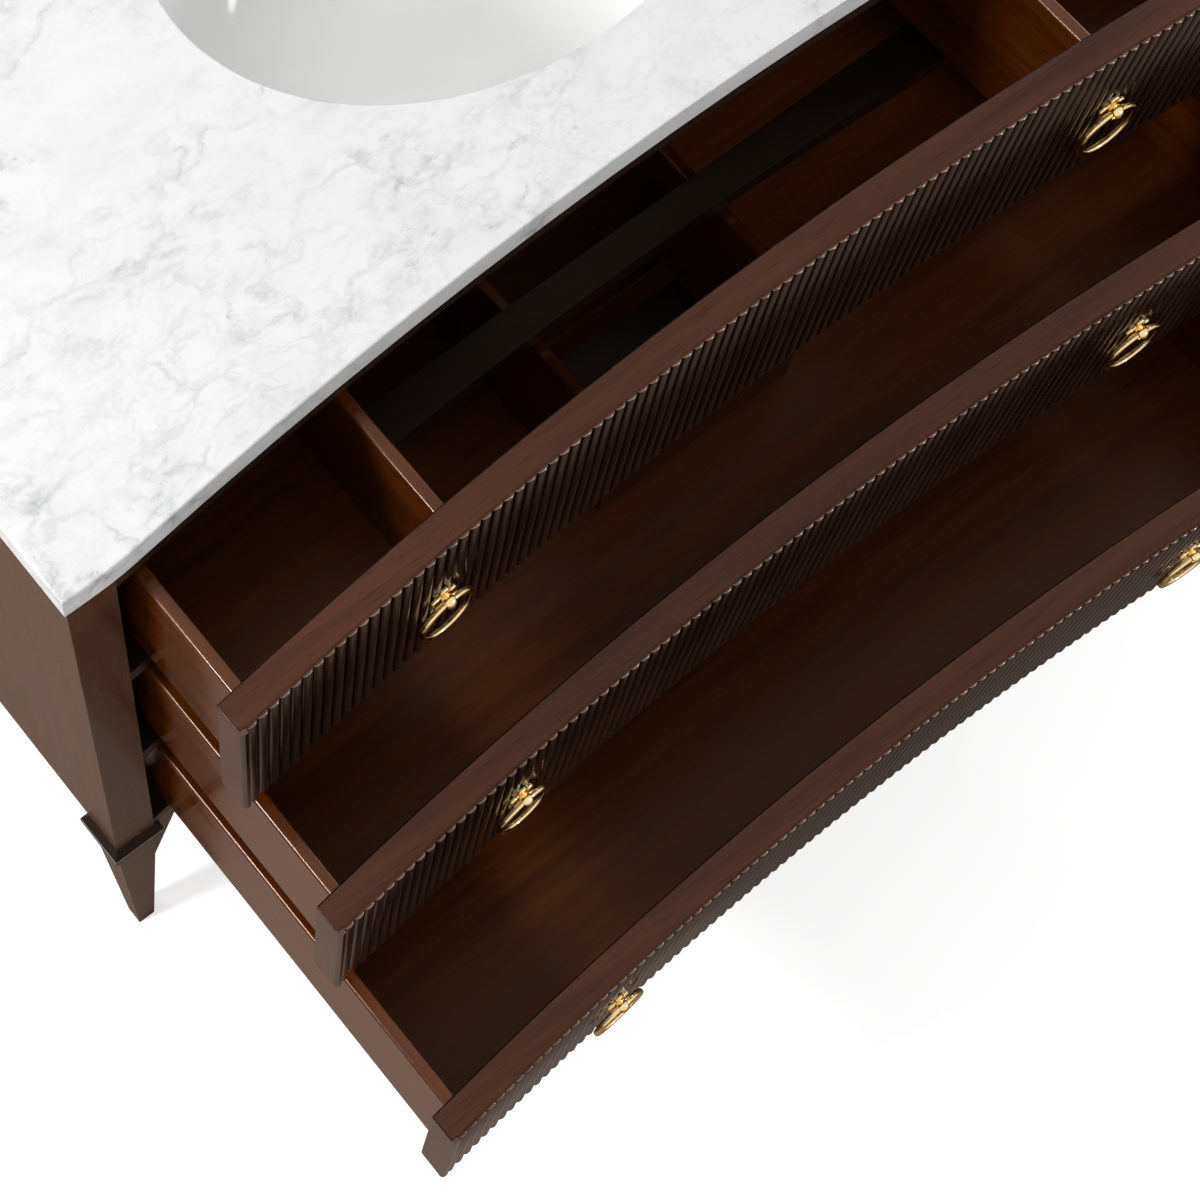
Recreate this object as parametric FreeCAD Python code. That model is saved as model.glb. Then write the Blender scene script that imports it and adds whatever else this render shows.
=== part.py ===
import FreeCAD, Part
import math
import os

Vec = FreeCAD.Vector

# Sink chest: a mahogany case with a hollow (concave) reeded front, a marble top and an undermount basin.
# Millimetres. X runs to the right as seen from the front, Y to the back, Z up from the floor.
# The pieces are drawn with Y = 0 on the front faces of the corner posts, and moved at the end so that
# the origin lies on the floor under the middle of the case.

# Case
case_width = 1125.0
case_depth = 565.0
case_height = 869.0
post_size = 41.0
panel_thickness = 19.0
back_thickness = 12.0
bottom_thickness = 9.0
plumbing_width = 300.0
plumbing_height = 260.0
plumbing_top_gap = 90.0
plumbing_corner = 20.0

# Hollow front with its rails and openings
front_hollow = 33.0
opening_height = 171.0
top_rail_height = 20.0
rail_height = 17.0
bottom_rail_height = 12.0
rail_depth = 63.0

# Legs and their collars
foot_size = 18.0
foot_side_inset = 10.0
foot_front_inset = 4.0
collar_slope_height = 12.0
collar_band_height = 9.0
collar_step_height = 8.0
collar_tail_height = 9.0
collar_projection = 6.5
collar_step_projection = 3.5
bracket_width = 31.0
bracket_height = 94.0
bracket_thickness = 20.0
bracket_setback = 3.0
bracket_clearance = 0.3

# Marble top
slab_thickness = 24.0
slab_overhang = 3.0
slab_bend_radius = 320.0
slab_edge_round = 2.0
cutout_width = 475.0
cutout_length = 375.0
basin_margin_share = 0.668
tap_hole_diameter = 35.0
tap_spacing = 101.6
tap_margin_share = 0.14

# Basin
basin_depth = 150.0
basin_wall = 11.0
basin_reveal = 3.0
basin_flange_width = 24.0
basin_flange_thickness = 10.0
drain_diameter = 44.5
drain_offset = 45.0
drain_boss_diameter = 66.0
drain_boss_height = 10.0
clip_width = 22.0
clip_thickness = 3.0
clip_foot = 24.0
clip_clearance = 0.5
bowl_rim_shares = [1.0, 0.975, 0.88, 0.70, 0.42, 0.0]
bowl_depth_shares = [0.0, 0.28, 0.60, 0.84, 0.96, 1.0]

# Drawer fronts and their reeding
front_gap = 2.0
front_thickness = 29.0
reeding_thickness = 4.4
reed_depth = 3.0
reed_pitch = 10.5
end_strip_width = 6.0

# Drawer boxes
box_side_thickness = 11.5
box_front_overhang = 14.0
box_top_drop = 3.5
box_back_gap = 48.0
box_edge_round = 3.0
floor_thickness = 6.0
floor_lift = 2.0
groove_depth = 5.0
divider_offset = 307.0
divider_drop = 9.0
well_half_width = 91.0
well_reach = 121.0

# Runners
runner_rise = 19.0
runner_lap = 14.0
guide_height = 38.0
slide_clearance = 0.3
guide_clearance = 0.5

# How far each drawer stands open
top_drawer_open = 137.5
middle_drawer_open = 250.5
bottom_drawer_open = 401.5

# Ring pulls
pull_offset = 326.0
pull_drop = 79.4
pull_standoff = 6.8
eye_radius = 6.0
eye_clearance = 0.3
neck_radius = 4.0
rosette_radius = 7.6
rosette_thickness = 2.8
rosette_round = 1.4
lobe_radius = 4.8
lobe_offset = 7.6
ring_radius = 24.8
ring_band_half = 2.7
ring_wire_half = 2.7
ring_band_round = 1.9
screw_radius = 2.0
screw_clearance = 0.2
screw_head_radius = 4.5
screw_head_height = 2.6
screw_depth = 2.4

cut_overrun = 5.0
level_tolerance = 0.01

# Worked out from the sizes above
half_width = case_width / 2
opening_half = half_width - post_size
arc_radius = (opening_half ** 2 + front_hollow ** 2) / (2 * front_hollow)
arc_centre_y = front_hollow - arc_radius
front_half = opening_half - front_gap
front_height = opening_height - 2 * front_gap
front_back_radius = arc_radius + front_thickness
core_face_radius = arc_radius + reeding_thickness
box_half = front_half - box_front_overhang
opening_tops = [case_height - top_rail_height - row * (opening_height + rail_height) for row in range(3)]
case_bottom = opening_tops[2] - opening_height - bottom_rail_height
collar_height = collar_slope_height + collar_band_height + collar_step_height + collar_tail_height
collar_bottom = case_bottom - collar_height
inner_half = half_width - panel_thickness
rear_post_face = case_depth - post_size
back_face = case_depth - back_thickness
box_back_setback = back_face - box_back_gap
slab_front_middle = front_hollow - slab_overhang
slab_free_depth = case_depth - slab_front_middle - cutout_length - tap_hole_diameter
basin_setback = slab_front_middle + slab_free_depth * basin_margin_share + cutout_length / 2
tap_setback = case_depth - slab_free_depth * tap_margin_share - tap_hole_diameter / 2
well_front_setback = basin_setback - well_reach
cutout_ratio = cutout_length / cutout_width
basin_lip = cutout_width / 2 + basin_reveal
basin_flange = basin_lip + basin_flange_width
ring_sag = ring_radius - math.sqrt(ring_radius ** 2 - eye_radius ** 2)
eye_hole_radius = (math.hypot(ring_band_half - ring_band_round, ring_wire_half + ring_sag - ring_band_round)
                   + ring_band_round + eye_clearance)
clip_reach = (basin_flange_width - basin_wall) * cutout_ratio - 2 * clip_clearance
MIDDLE_PLANE = (Vec(0, 0, 0), Vec(1, 0, 0))
DEPTH_PLANE = (Vec(0, case_depth / 2, 0), Vec(0, 1, 0))


def box(x0, x1, y0, y1, z0, z1):
    return Part.makeBox(x1 - x0, y1 - y0, z1 - z0, Vec(x0, y0, z0))


def line(start, end):
    return Part.makeLine(start, end)


def extruded(edges, bottom, height):
    face = Part.Face(Part.Wire(Part.__sortEdges__(edges)))
    face.translate(Vec(0, 0, bottom))
    return face.extrude(Vec(0, 0, height))


def polygon(points):
    return Part.Face(Part.makePolygon(points + points[:1]))


def polar(radius, angle):
    """Point in plan at an angle from the middle line, seen from the centre of the hollow."""
    return Vec(radius * math.sin(angle), arc_centre_y + radius * math.cos(angle), 0)


def on_arc(radius, x):
    return polar(radius, math.asin(x / radius))


def arc_between(radius, x0, x1):
    return Part.Arc(on_arc(radius, x0), on_arc(radius, (x0 + x1) / 2), on_arc(radius, x1)).toShape()


def board_behind_arc(radius, x0, x1, back_y, bottom, height):
    """Board whose front edge follows the hollow and whose back edge is straight."""
    left_back = Vec(x0, back_y, 0)
    right_back = Vec(x1, back_y, 0)
    edges = [
        arc_between(radius, x0, x1),
        line(on_arc(radius, x1), right_back),
        line(right_back, left_back),
        line(left_back, on_arc(radius, x0)),
    ]
    return extruded(edges, bottom, height)


def mirrored(shape):
    return shape.mirror(*MIDDLE_PLANE)


def top_edges(shape, top):
    """Edges that lie in the plane of a shape's top face."""
    level = []
    for edge in shape.Edges:
        off_level = abs(edge.BoundBox.ZMin - top) + abs(edge.BoundBox.ZMax - top)
        if off_level < level_tolerance:
            level.append(edge)
    return level


# Case

def leg():
    """Square post of the front left corner, with its foot tapering below the collar."""
    outer = -half_width
    post = box(outer, outer + post_size, 0, post_size, collar_bottom, case_height)
    foot_x = outer + foot_side_inset
    top = Part.makePolygon([
        Vec(outer, 0, collar_bottom),
        Vec(outer + post_size, 0, collar_bottom),
        Vec(outer + post_size, post_size, collar_bottom),
        Vec(outer, post_size, collar_bottom),
        Vec(outer, 0, collar_bottom),
    ])
    sole = Part.makePolygon([
        Vec(foot_x, foot_front_inset, 0),
        Vec(foot_x + foot_size, foot_front_inset, 0),
        Vec(foot_x + foot_size, foot_front_inset + foot_size, 0),
        Vec(foot_x, foot_front_inset + foot_size, 0),
        Vec(foot_x, foot_front_inset, 0),
    ])
    foot = Part.makeLoft([sole, top], True, True)
    return post.fuse(foot).removeSplitter()


def front_leg():
    """Leg of the front left corner with the slim bracket that eases it into the bottom rail."""
    inner = -half_width + post_size
    collar_face = inner + collar_projection + bracket_clearance
    notch_foot = collar_bottom - bracket_clearance
    housing = post_size / 4
    rise = bracket_height / bracket_width
    profile = polygon([
        Vec(inner - housing, bracket_setback, case_bottom - bracket_height - housing * rise),
        Vec(inner + bracket_width, bracket_setback, case_bottom),
        Vec(collar_face, bracket_setback, case_bottom),
        Vec(collar_face, bracket_setback, notch_foot),
        Vec(inner - housing, bracket_setback, notch_foot),
    ])
    bracket = profile.extrude(Vec(0, bracket_thickness, 0))
    return leg().fuse(bracket).removeSplitter()


def square_wire(grow, z):
    outer = -half_width - grow
    inner = -half_width + post_size + grow
    front = -grow
    back = post_size + grow
    corners = [Vec(outer, front, z), Vec(inner, front, z), Vec(inner, back, z), Vec(outer, back, z)]
    return Part.makePolygon(corners + corners[:1])


def collar():
    """Moulded ring round the post: a slope, a band, a step back and a slope under it."""
    slope_foot = case_bottom - collar_slope_height
    band_foot = slope_foot - collar_band_height
    step_foot = band_foot - collar_step_height
    levels = [
        (0, case_bottom, collar_projection, slope_foot),
        (collar_projection, slope_foot, collar_projection, band_foot),
        (collar_step_projection, band_foot, collar_step_projection, step_foot),
        (collar_step_projection, step_foot, 0, collar_bottom),
    ]
    solid = None
    for upper_grow, upper_z, lower_grow, lower_z in levels:
        wires = [square_wire(lower_grow, lower_z), square_wire(upper_grow, upper_z)]
        layer = Part.makeLoft(wires, True, True)
        solid = layer if solid is None else solid.fuse(layer)
    post = box(-half_width, -half_width + post_size, 0, post_size, 0, case_height)
    return solid.removeSplitter().cut(post)


def four_corners(shape):
    right = mirrored(shape)
    return [shape, right, shape.mirror(*DEPTH_PLANE), right.mirror(*DEPTH_PLANE)]


def side_panel():
    return box(-half_width, -inner_half, post_size, rear_post_face, case_bottom, case_height)


def back_panel():
    panel = box(-opening_half, opening_half, back_face, case_depth, case_bottom, case_height)
    window_top = case_height - plumbing_top_gap
    window = box(-plumbing_width / 2, plumbing_width / 2, back_face - cut_overrun, case_depth + cut_overrun,
                 window_top - plumbing_height, window_top)
    upright = [edge for edge in window.Edges if edge.BoundBox.YLength > back_thickness]
    return panel.cut(window.makeFillet(plumbing_corner, upright))


def bottom_panel():
    panel = box(-inner_half, inner_half, rail_depth, back_face, case_bottom, case_bottom + bottom_thickness)
    for x0, x1 in ((-inner_half, -opening_half), (opening_half, inner_half)):
        panel = panel.cut(box(x0, x1, rear_post_face, back_face, case_bottom, case_height))
    return panel


def rail(bottom, height):
    return board_behind_arc(arc_radius, -opening_half, opening_half, rail_depth, bottom, height)


def runner(row):
    """Raised bearer under the left side of a drawer, with a guide beside that side."""
    opening_bottom = opening_tops[row] - opening_height
    foot = case_bottom + bottom_thickness if row == 2 else opening_bottom - rail_height
    bearing = opening_bottom + runner_rise - slide_clearance
    guide_face = -box_half - guide_clearance
    inner_face = -box_half + runner_lap
    guide_top = bearing + guide_height
    profile = polygon([
        Vec(-inner_half, rail_depth, foot),
        Vec(inner_face, rail_depth, foot),
        Vec(inner_face, rail_depth, bearing),
        Vec(guide_face, rail_depth, bearing),
        Vec(guide_face, rail_depth, guide_top),
        Vec(-inner_half, rail_depth, guide_top),
    ])
    return profile.extrude(Vec(0, rear_post_face - rail_depth, 0))


# Top

def slab_outline():
    """Straight over the posts, then a soft bend into the hollow of the front."""
    front_y = -slab_overhang
    side_x = half_width + slab_overhang
    hollow_radius = arc_radius - slab_overhang
    bend_y = front_y + slab_bend_radius
    reach = hollow_radius + slab_bend_radius
    turn = math.acos((bend_y - arc_centre_y) / reach)
    bend_x = reach * math.sin(turn)
    edges = []
    for side in (-1, 1):
        centre = Vec(side * bend_x, bend_y, 0)
        on_line = Vec(side * bend_x, front_y, 0)
        on_hollow = polar(hollow_radius, side * turn)
        halfway = centre + Vec(-side * math.sin(turn / 2), -math.cos(turn / 2), 0) * slab_bend_radius
        corner = Vec(side * side_x, front_y, 0)
        edges.append(line(corner, on_line))
        edges.append(Part.Arc(on_line, halfway, on_hollow).toShape())
        edges.append(line(corner, Vec(side * side_x, case_depth, 0)))
    hollow_x = hollow_radius * math.sin(turn)
    edges.append(arc_between(hollow_radius, -hollow_x, hollow_x))
    edges.append(line(Vec(-side_x, case_depth, 0), Vec(side_x, case_depth, 0)))
    return edges


def marble_top():
    slab = extruded(slab_outline(), case_height, slab_thickness)
    ellipse = Part.Ellipse(Vec(0, basin_setback, 0), cutout_width / 2, cutout_length / 2).toShape()
    slab = slab.cut(extruded([ellipse], case_height - cut_overrun, slab_thickness + 2 * cut_overrun))
    slab = slab.makeFillet(slab_edge_round, top_edges(slab, case_height + slab_thickness))
    for place in (-1, 0, 1):
        hole = Part.makeCylinder(tap_hole_diameter / 2, slab_thickness + 2 * cut_overrun,
                                 Vec(place * tap_spacing, tap_setback, case_height - cut_overrun))
        slab = slab.cut(hole)
    return slab


def oval(half_x, half_y, y, z):
    return Part.Wire(Part.Ellipse(Vec(0, y, z), half_x, half_y).toShape())


def drain_edge(radius, z):
    return Part.Wire(Part.Circle(Vec(0, drain_offset, z), Vec(0, 0, 1), radius).toShape())


def bowl_ovals(rim_half, drain_half, top, depth):
    """Cross-sections of the bowl, from the oval rim down and back to the round drain."""
    ovals = []
    for rim_share, depth_share in zip(bowl_rim_shares, bowl_depth_shares):
        half_x = drain_half + (rim_half - drain_half) * rim_share
        half_y = drain_half + (rim_half * cutout_ratio - drain_half) * rim_share
        ovals.append(oval(half_x, half_y, drain_offset * (1 - rim_share), top - depth * depth_share))
    return ovals


def basin():
    """Oval bowl that narrows to a round drain behind its middle, with a flange that sits under the slab."""
    drain_half = drain_diameter / 2
    boss_half = drain_boss_diameter / 2
    boss_top = -basin_depth - basin_wall
    boss_foot = boss_top - drain_boss_height
    flange_top = oval(basin_flange, basin_flange * cutout_ratio, 0, 0)
    flange_foot = oval(basin_flange, basin_flange * cutout_ratio, 0, -basin_flange_thickness)
    inside = bowl_ovals(basin_lip, drain_half, 0, basin_depth)
    outside = bowl_ovals(basin_lip + basin_wall, boss_half, -basin_flange_thickness,
                         -boss_top - basin_flange_thickness)
    drain_foot = drain_edge(drain_half, boss_foot)
    boss_rim = drain_edge(boss_half, boss_foot)
    drain_wall = Part.makeCylinder(drain_half, -basin_depth - boss_foot, Vec(0, drain_offset, boss_foot))
    boss_wall = Part.makeCylinder(boss_half, drain_boss_height, Vec(0, drain_offset, boss_foot))
    faces = [drain_wall.Faces[0], boss_wall.Faces[0]]
    for wires in (inside, outside):
        faces += Part.makeLoft(wires).Faces
    faces += Part.makeLoft([flange_top, flange_foot], False, True).Faces
    for rim, gap in ((flange_top, inside[0]), (flange_foot, outside[0]), (boss_rim, drain_foot)):
        faces.append(Part.Face([rim, gap]))
    shell = Part.makeShell(faces)
    shell.sewShape()
    bowl = Part.makeSolid(shell)
    bowl.translate(Vec(0, basin_setback, case_height))
    return bowl


def basin_clips():
    """Four cranked clips that reach from the slab's underside under the basin's flange."""
    arm_top = -basin_flange_thickness
    arm_foot = arm_top - clip_thickness
    riser = clip_clearance
    profile = [
        Vec(riser + clip_foot, 0, 0),
        Vec(riser, 0, 0),
        Vec(riser, 0, arm_top),
        Vec(-clip_reach, 0, arm_top),
        Vec(-clip_reach, 0, arm_foot),
        Vec(riser + clip_thickness, 0, arm_foot),
        Vec(riser + clip_thickness, 0, -clip_thickness),
        Vec(riser + clip_foot, 0, -clip_thickness),
    ]
    clip = polygon(profile).extrude(Vec(0, clip_width, 0))
    clip.translate(Vec(0, -clip_width / 2, 0))
    half_length = basin_flange * cutout_ratio
    clips = []
    for quarter in range(4):
        turn = math.pi / 4 + quarter * math.pi / 2
        place = Vec(basin_flange * math.cos(turn), half_length * math.sin(turn), 0)
        facing = math.degrees(math.atan2(basin_flange * math.sin(turn), half_length * math.cos(turn)))
        copy = clip.copy()
        copy.rotate(Vec(0, 0, 0), Vec(0, 0, 1), facing)
        copy.translate(place + Vec(0, basin_setback, case_height))
        clips.append(copy)
    return Part.makeCompound(clips)


# Drawer fronts

def pull_holes():
    """Holes through a front for the two pull screws, square to the hollow face."""
    holes = []
    length = front_thickness + 2 * cut_overrun
    for side in (-1, 1):
        turn = math.asin(side * pull_offset / arc_radius)
        start = polar(arc_radius - cut_overrun, turn)
        start.z = front_height - pull_drop
        holes.append(Part.makeCylinder(screw_radius + screw_clearance, length, start,
                                       Vec(math.sin(turn), math.cos(turn), 0)))
    return holes


def front_core():
    edges = [
        arc_between(core_face_radius, -front_half, front_half),
        line(on_arc(core_face_radius, front_half), on_arc(front_back_radius, front_half)),
        arc_between(front_back_radius, -front_half, front_half),
        line(on_arc(core_face_radius, -front_half), on_arc(front_back_radius, -front_half)),
    ]
    return extruded(edges, 0, front_height).cut(pull_holes())


def reeded_facing():
    """Facing of reeds set side by side along the hollow, between two plain rounded end strips."""
    valley_radius = arc_radius + reed_depth
    reeded_half = front_half - end_strip_width
    half_angle = math.asin(reeded_half / arc_radius)
    reed_count = round(2 * half_angle * arc_radius / reed_pitch)
    step = 2 * half_angle / reed_count
    edges = [arc_between(core_face_radius, -front_half, front_half)]
    for reed in range(reed_count):
        start = -half_angle + reed * step
        edges.append(Part.Arc(polar(valley_radius, start), polar(arc_radius, start + step / 2),
                              polar(valley_radius, start + step)).toShape())
    corner_round = reeding_thickness * math.sqrt(0.5)
    round_start = front_half - reeding_thickness
    for side in (-1, 1):
        outer = on_arc(core_face_radius, side * front_half)
        shoulder = on_arc(arc_radius, side * round_start)
        bulge = on_arc(core_face_radius - corner_round, side * (round_start + corner_round))
        inner = polar(arc_radius, side * half_angle)
        edges.append(Part.Arc(outer, bulge, shoulder).toShape())
        edges.append(line(shoulder, inner))
        edges.append(line(inner, polar(valley_radius, side * half_angle)))
    return extruded(edges, 0, front_height).cut(pull_holes())


# Drawer boxes

class DrawerBox:
    """Heights of one drawer, counted from its opening."""

    def __init__(self, row):
        self.front_bottom = opening_tops[row] - opening_height + front_gap
        self.side_bottom = opening_tops[row] - opening_height + runner_rise
        self.side_top = self.front_bottom + front_height - box_top_drop
        self.floor_bottom = self.side_bottom + floor_lift
        self.floor_top = self.floor_bottom + floor_thickness
        self.inner_half = box_half - box_side_thickness
        self.inner_back = box_back_setback - box_side_thickness

    def upright_board(self, x0, x1, top):
        """Board standing from the back of the front to the back of the box, rounded along its top."""
        height = top - self.side_bottom
        board = board_behind_arc(front_back_radius, x0, x1, box_back_setback, self.side_bottom, height)
        along = [edge for edge in top_edges(board, top) if edge.BoundBox.YLength > box_back_setback / 2]
        return board.makeFillet(box_edge_round, along)

    def floor_board(self, x0, x1):
        return board_behind_arc(front_back_radius, x0, x1, box_back_setback,
                                self.floor_bottom, floor_thickness)

    def cross_board(self, x0, x1, y0, top):
        """Board across the box, standing on the floor and rounded along its top."""
        board = box(x0, x1, y0, y0 + box_side_thickness, self.floor_top, top)
        along = [edge for edge in top_edges(board, top) if edge.BoundBox.XLength > box_side_thickness]
        return board.makeFillet(box_edge_round, along)

    def side(self):
        board = self.upright_board(-box_half, -self.inner_half, self.side_top)
        groove = box(-self.inner_half - groove_depth, -self.inner_half + cut_overrun,
                     -case_depth, case_depth, self.floor_bottom, self.floor_top)
        return board.cut(groove)


def top_drawer():
    drawer = DrawerBox(0)
    divider_top = drawer.side_top - divider_drop
    outer_face = -divider_offset - box_side_thickness / 2
    divider = drawer.upright_board(outer_face, outer_face + box_side_thickness, divider_top)
    divider = divider.cut(box(outer_face - cut_overrun, outer_face + groove_depth, -case_depth, case_depth,
                              drawer.floor_bottom, drawer.floor_top))
    floor = drawer.floor_board(-drawer.inner_half - groove_depth, outer_face + groove_depth)
    back = drawer.cross_board(-drawer.inner_half, outer_face, drawer.inner_back, divider_top)
    pieces = {"side": drawer.side(), "divider": divider, "floor": floor, "back": back}
    nodes = {}
    for name, shape in pieces.items():
        nodes["top_drawer_" + name + "_left"] = shape
        nodes["top_drawer_" + name + "_right"] = mirrored(shape)
    return nodes


def middle_drawer():
    drawer = DrawerBox(1)
    well_top = drawer.side_top - divider_drop
    well_outer = well_half_width + box_side_thickness
    floor = drawer.floor_board(-drawer.inner_half - groove_depth, drawer.inner_half + groove_depth)
    notch = box(-well_half_width, well_half_width, well_front_setback + box_side_thickness,
                box_back_setback + cut_overrun, drawer.side_bottom, drawer.side_top)
    back = drawer.cross_board(-drawer.inner_half, -well_outer, drawer.inner_back, well_top)
    wall = box(-well_outer, -well_half_width, well_front_setback, box_back_setback,
               drawer.floor_top, well_top)
    along = [edge for edge in top_edges(wall, well_top) if edge.BoundBox.YLength > box_side_thickness]
    wall = wall.makeFillet(box_edge_round, along)
    nodes = {"middle_drawer_floor": floor.cut(notch)}
    for name, shape in {"side": drawer.side(), "back": back, "well": wall}.items():
        nodes["middle_drawer_" + name + "_left"] = shape
        nodes["middle_drawer_" + name + "_right"] = mirrored(shape)
    well_front = drawer.cross_board(-well_half_width, well_half_width, well_front_setback, well_top)
    nodes["middle_drawer_well_front"] = well_front
    return nodes


def bottom_drawer():
    drawer = DrawerBox(2)
    inside = drawer.inner_half
    back_top = drawer.side_top - divider_drop
    return {
        "bottom_drawer_side_left": drawer.side(),
        "bottom_drawer_side_right": mirrored(drawer.side()),
        "bottom_drawer_back": drawer.cross_board(-inside, inside, drawer.inner_back, back_top),
        "bottom_drawer_floor": drawer.floor_board(-inside - groove_depth, inside + groove_depth),
    }


# Pulls, drawn with their foot at the origin and pointing to the front

def rosette():
    """Plate of four round lobes about a round middle, with softened edges."""
    middle = Part.makeCylinder(rosette_radius, rosette_thickness)
    lobes = []
    for quarter in range(4):
        turn = quarter * math.pi / 2
        place = Vec(lobe_offset * math.cos(turn), lobe_offset * math.sin(turn), 0)
        lobes.append(Part.makeCylinder(lobe_radius, rosette_thickness, place))
    plate = middle.fuse(lobes).removeSplitter()
    return plate.makeFillet(rosette_round, top_edges(plate, rosette_thickness))


def pull_stem():
    """Turned stem: a short neck and the ball that holds the ring."""
    neck_end = pull_standoff - math.sqrt(eye_radius ** 2 - neck_radius ** 2)
    neck_foot = Vec(neck_radius, 0, 0)
    ball_start = Vec(neck_radius, 0, neck_end)
    ball_end = Vec(0, 0, pull_standoff + eye_radius)
    edges = [
        line(Vec(0, 0, 0), neck_foot),
        line(neck_foot, ball_start),
        Part.Arc(ball_start, Vec(eye_radius, 0, pull_standoff), ball_end).toShape(),
        line(ball_end, Vec(0, 0, 0)),
    ]
    return Part.Face(Part.Wire(edges)).revolve(Vec(0, 0, 0), Vec(0, 0, 1), 360)


def pull_post():
    """Rosette and stem in one, with the ring's hole through the ball and a tapped hole in the foot."""
    hole = Part.makeCylinder(eye_hole_radius, 2 * (eye_radius + cut_overrun),
                             Vec(-eye_radius - cut_overrun, 0, pull_standoff), Vec(1, 0, 0))
    tapping = Part.makeCylinder(screw_radius, screw_depth)
    post = rosette().fuse(pull_stem()).cut([hole, tapping]).removeSplitter()
    post.rotate(Vec(0, 0, 0), Vec(1, 0, 0), 90)
    return post


def pull_ring():
    """Flat band bent to a ring, with rounded edges."""
    inner = ring_radius - ring_wire_half
    outer = ring_radius + ring_wire_half
    band = Part.makeCylinder(outer, 2 * ring_band_half).cut(Part.makeCylinder(inner, 2 * ring_band_half))
    rims = [edge for edge in band.Edges if edge.BoundBox.ZLength < level_tolerance]
    ring = band.makeFillet(ring_band_round, rims)
    ring.rotate(Vec(0, 0, 0), Vec(1, 0, 0), 90)
    ring.translate(Vec(0, ring_band_half - pull_standoff, -ring_radius))
    return ring


def pull_screw():
    """Screw from inside the drawer through the front into the post."""
    head_foot = front_thickness
    inward = Vec(0, 1, 0)
    shank = Part.makeCylinder(screw_radius, head_foot + screw_depth, Vec(0, -screw_depth, 0), inward)
    head = Part.makeCylinder(screw_head_radius, screw_head_height, Vec(0, head_foot, 0), inward)
    return shank.fuse(head).removeSplitter()


def on_front(shape, side):
    """Sets a pull piece square on the reeds of a front, on the left (-1) or right (1)."""
    turn = math.asin(side * pull_offset / arc_radius)
    place = polar(arc_radius, turn)
    place.z = front_height - pull_drop
    copy = shape.copy()
    copy.rotate(Vec(0, 0, 0), Vec(0, 0, 1), -math.degrees(turn))
    copy.translate(place)
    return copy


def case_nodes():
    nodes = {}
    corners = ("front_left", "front_right", "rear_left", "rear_right")
    for corner, shape in zip(corners, four_corners(front_leg())[:2] + four_corners(leg())[2:]):
        nodes["leg_" + corner] = shape
    nodes["leg_collars"] = Part.makeCompound(four_corners(collar()))
    nodes["side_panel_left"] = side_panel()
    nodes["side_panel_right"] = mirrored(side_panel())
    nodes["back_panel"] = back_panel()
    nodes["bottom_panel"] = bottom_panel()
    nodes["top_rail"] = rail(case_height - top_rail_height, top_rail_height)
    nodes["upper_rail"] = rail(opening_tops[1], rail_height)
    nodes["lower_rail"] = rail(opening_tops[2], rail_height)
    nodes["bottom_rail"] = rail(case_bottom, bottom_rail_height)
    for row, name in enumerate(("top", "middle", "bottom")):
        nodes[name + "_runner_left"] = runner(row)
        nodes[name + "_runner_right"] = mirrored(runner(row))
    nodes["marble_top"] = marble_top()
    nodes["basin"] = basin()
    nodes["basin_clips"] = basin_clips()
    return nodes


def front_nodes():
    """A drawer front with its reeding and pulls, standing on z = 0."""
    post, screw, ring = pull_post(), pull_screw(), pull_ring()
    return {
        "drawer_front": front_core(),
        "drawer_reeding": reeded_facing(),
        "pull_posts": Part.makeCompound([on_front(post, side) for side in (-1, 1)]),
        "pull_screws": Part.makeCompound([on_front(screw, side) for side in (-1, 1)]),
        "ring_left": on_front(ring, -1),
        "ring_right": on_front(ring, 1),
    }


def drawer_nodes():
    fronts = front_nodes()
    rows = (
        ("top", top_drawer(), top_drawer_open),
        ("middle", middle_drawer(), middle_drawer_open),
        ("bottom", bottom_drawer(), bottom_drawer_open),
    )
    nodes = {}
    for row, (name, pieces, open_by) in enumerate(rows):
        lift = Vec(0, 0, DrawerBox(row).front_bottom)
        for piece, shape in fronts.items():
            pieces[name + "_" + piece] = shape.translated(lift)
        for node, shape in pieces.items():
            nodes[node] = shape.translated(Vec(0, -open_by, 0))
    return nodes


def main():
    os.makedirs("parts", exist_ok=True)
    nodes = case_nodes()
    nodes.update(drawer_nodes())
    for name, shape in nodes.items():
        centred = shape.translated(Vec(0, -case_depth / 2, 0))
        centred.exportStep(os.path.join("parts", name + ".step"))


main()
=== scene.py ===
import math

import bmesh
import bpy
from mathutils import Matrix, Vector


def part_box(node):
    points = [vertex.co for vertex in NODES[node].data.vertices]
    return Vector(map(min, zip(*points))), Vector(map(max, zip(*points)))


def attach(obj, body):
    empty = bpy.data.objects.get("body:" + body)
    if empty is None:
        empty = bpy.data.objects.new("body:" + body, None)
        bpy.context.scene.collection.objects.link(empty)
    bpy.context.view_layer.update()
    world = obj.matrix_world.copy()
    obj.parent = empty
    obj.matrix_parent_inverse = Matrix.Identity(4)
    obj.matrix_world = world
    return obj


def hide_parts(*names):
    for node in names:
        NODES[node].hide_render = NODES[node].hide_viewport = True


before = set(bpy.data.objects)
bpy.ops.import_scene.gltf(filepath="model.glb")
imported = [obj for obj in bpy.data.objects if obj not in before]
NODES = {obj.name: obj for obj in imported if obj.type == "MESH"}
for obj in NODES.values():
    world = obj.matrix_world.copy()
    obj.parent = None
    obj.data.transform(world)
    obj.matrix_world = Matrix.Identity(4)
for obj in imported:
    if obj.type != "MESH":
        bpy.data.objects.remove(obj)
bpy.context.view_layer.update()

ROWS = ("top", "middle", "bottom")

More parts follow.
